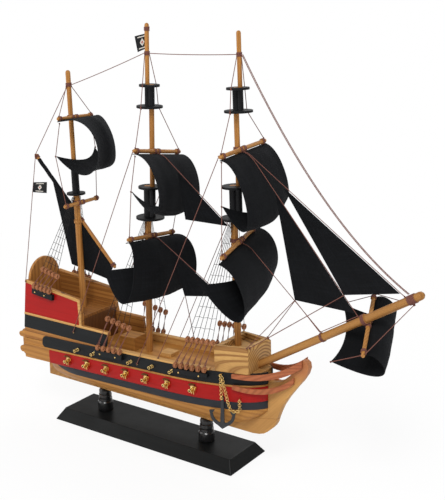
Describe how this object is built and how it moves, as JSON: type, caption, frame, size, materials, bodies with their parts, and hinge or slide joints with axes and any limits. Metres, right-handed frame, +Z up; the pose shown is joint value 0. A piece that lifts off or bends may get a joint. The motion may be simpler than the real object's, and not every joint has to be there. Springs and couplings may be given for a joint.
{
  "type": "model sailing ship",
  "caption": "Wooden display model of a square-rigged sailing ship with dark cloth sails, yards that swivel on the masts, a hanging anchor, and a sloped base on turned pillars.",
  "frame": {"origin": "centre of the base board's underside", "axes": "+X to the bow, +Y to port, +Z up"},
  "size_m": [0.4913, 0.1042, 0.457],
  "materials": {
    "black_lacquer": "gloss",
    "black_paint": "satin",
    "red_paint": "satin",
    "black_cloth": "matte",
    "black_metal": "satin",
    "brass": "satin",
    "dark_wood": "satin",
    "black_thread": "matte",
    "brown_thread": "matte",
    "spar_wood": "satin",
    "hull_wood": "satin"
  },
  "bodies": {
    "ship": {"stand_base": "black_lacquer", "stand_pillars": "black_lacquer", "keel": "hull_wood", "stem_knee": "hull_wood", "hull_bottom": "hull_wood", "hull_upper": "hull_wood", "boot_strakes": "black_paint", "red_strakes": "red_paint", "gun_strakes": "black_paint", "waist_bulwarks": "hull_wood", "castle_sides": "hull_wood", "castle_rails": "hull_wood", "castle_panels": "red_paint", "quarter_strakes": "black_paint", "stern_gallery": "hull_wood", "transom": "hull_wood", "poop_deck": "hull_wood", "poop_bulkhead": "dark_wood", "forecastle": "hull_wood", "deck_cabin": "hull_wood", "deck_hatch": "hull_wood", "head_rails": "dark_wood", "main_lower_mast": "spar_wood", "main_topmast": "spar_wood", "main_topgallant": "spar_wood", "main_tops": "black_paint", "fore_lower_mast": "spar_wood", "fore_topmast": "spar_wood", "fore_topgallant": "spar_wood", "fore_tops": "black_paint", "mizzen_lower_mast": "spar_wood", "mizzen_topmast": "spar_wood", "mizzen_tops": "black_paint", "bowsprit": "spar_wood", "stay_sails": "black_cloth", "flags": "black_cloth", "brass_guns": "brass", "port_lids": "dark_wood", "channels": "black_paint", "deadeyes": "spar_wood", "shrouds": "black_thread", "standing_rigging": "brown_thread", "running_rigging": "brown_thread", "anchor_chain": "brass"},
    "main_course": {"main_course_yard": "spar_wood", "main_course": "black_cloth"},
    "main_topsail": {"main_topsail_yard": "spar_wood", "main_topsail": "black_cloth"},
    "fore_course": {"fore_course_yard": "spar_wood", "fore_course": "black_cloth"},
    "fore_topsail": {"fore_topsail_yard": "spar_wood", "fore_topsail": "black_cloth"},
    "crossjack": {"crossjack_yard": "spar_wood"},
    "mizzen_topsail": {"mizzen_topsail_yard": "spar_wood", "mizzen_topsail": "black_cloth"},
    "lateen": {"lateen_yard": "spar_wood", "lateen_sail": "black_cloth"},
    "spritsail": {"spritsail_yard": "spar_wood", "spritsail": "black_cloth"},
    "anchor": {"anchor": "black_metal"}
  },
  "joints": [
    {"name": "main_course_swivel", "type": "hinge", "parent": "ship", "child": "main_course", "pos_m": [-0.00514, 0, 0.23428], "axis": [0.0161, 0, 0.9999], "range_deg": [-12, 12], "deforming": ["running_rigging"]},
    {"name": "main_topsail_swivel", "type": "hinge", "parent": "ship", "child": "main_topsail", "pos_m": [0.00294, 0, 0.32616], "axis": [0.0161, 0, 0.9999], "range_deg": [-12, 12], "deforming": ["running_rigging"]},
    {"name": "fore_course_swivel", "type": "hinge", "parent": "ship", "child": "fore_course", "pos_m": [0.10729, 0, 0.24413], "axis": [-0.0365, 0, 0.9993], "range_deg": [-12, 12], "deforming": ["running_rigging"]},
    {"name": "fore_topsail_swivel", "type": "hinge", "parent": "ship", "child": "fore_topsail", "pos_m": [0.11049, 0, 0.3375], "axis": [-0.0365, 0, 0.9993], "range_deg": [-12, 12], "deforming": ["running_rigging"]},
    {"name": "crossjack_swivel", "type": "hinge", "parent": "ship", "child": "crossjack", "pos_m": [-0.1078, 0, 0.25814], "axis": [-0.03, 0, 0.9995], "range_deg": [-12, 12], "deforming": ["running_rigging"]},
    {"name": "mizzen_topsail_swivel", "type": "hinge", "parent": "ship", "child": "mizzen_topsail", "pos_m": [-0.11541, 0.00458, 0.35336], "axis": [-0.03, 0, 0.9995], "range_deg": [-12, 12], "deforming": ["running_rigging"]},
    {"name": "lateen_swivel", "type": "hinge", "parent": "ship", "child": "lateen", "pos_m": [-0.10713, 0, 0.23595], "axis": [-0.03, 0, 0.9995], "range_deg": [-3, 10], "deforming": ["running_rigging"]},
    {"name": "spritsail_swivel", "type": "hinge", "parent": "ship", "child": "spritsail", "pos_m": [0.25435, 0, 0.18764], "axis": [0.8545, 0, 0.5195], "range_deg": [-10, 10], "deforming": ["running_rigging"]},
    {"name": "anchor_swing", "type": "hinge", "parent": "ship", "child": "anchor", "pos_m": [0.11279, -0.03144, 0.0845], "axis": [0.2634, -0.9647, 0], "range_deg": [-15, 4]}
  ],
  "couplings": [
    {"joint": "main_topsail_swivel", "follows": "main_course_swivel", "ratio": 1},
    {"joint": "fore_topsail_swivel", "follows": "fore_course_swivel", "ratio": 1},
    {"joint": "mizzen_topsail_swivel", "follows": "crossjack_swivel", "ratio": 1}
  ]
}
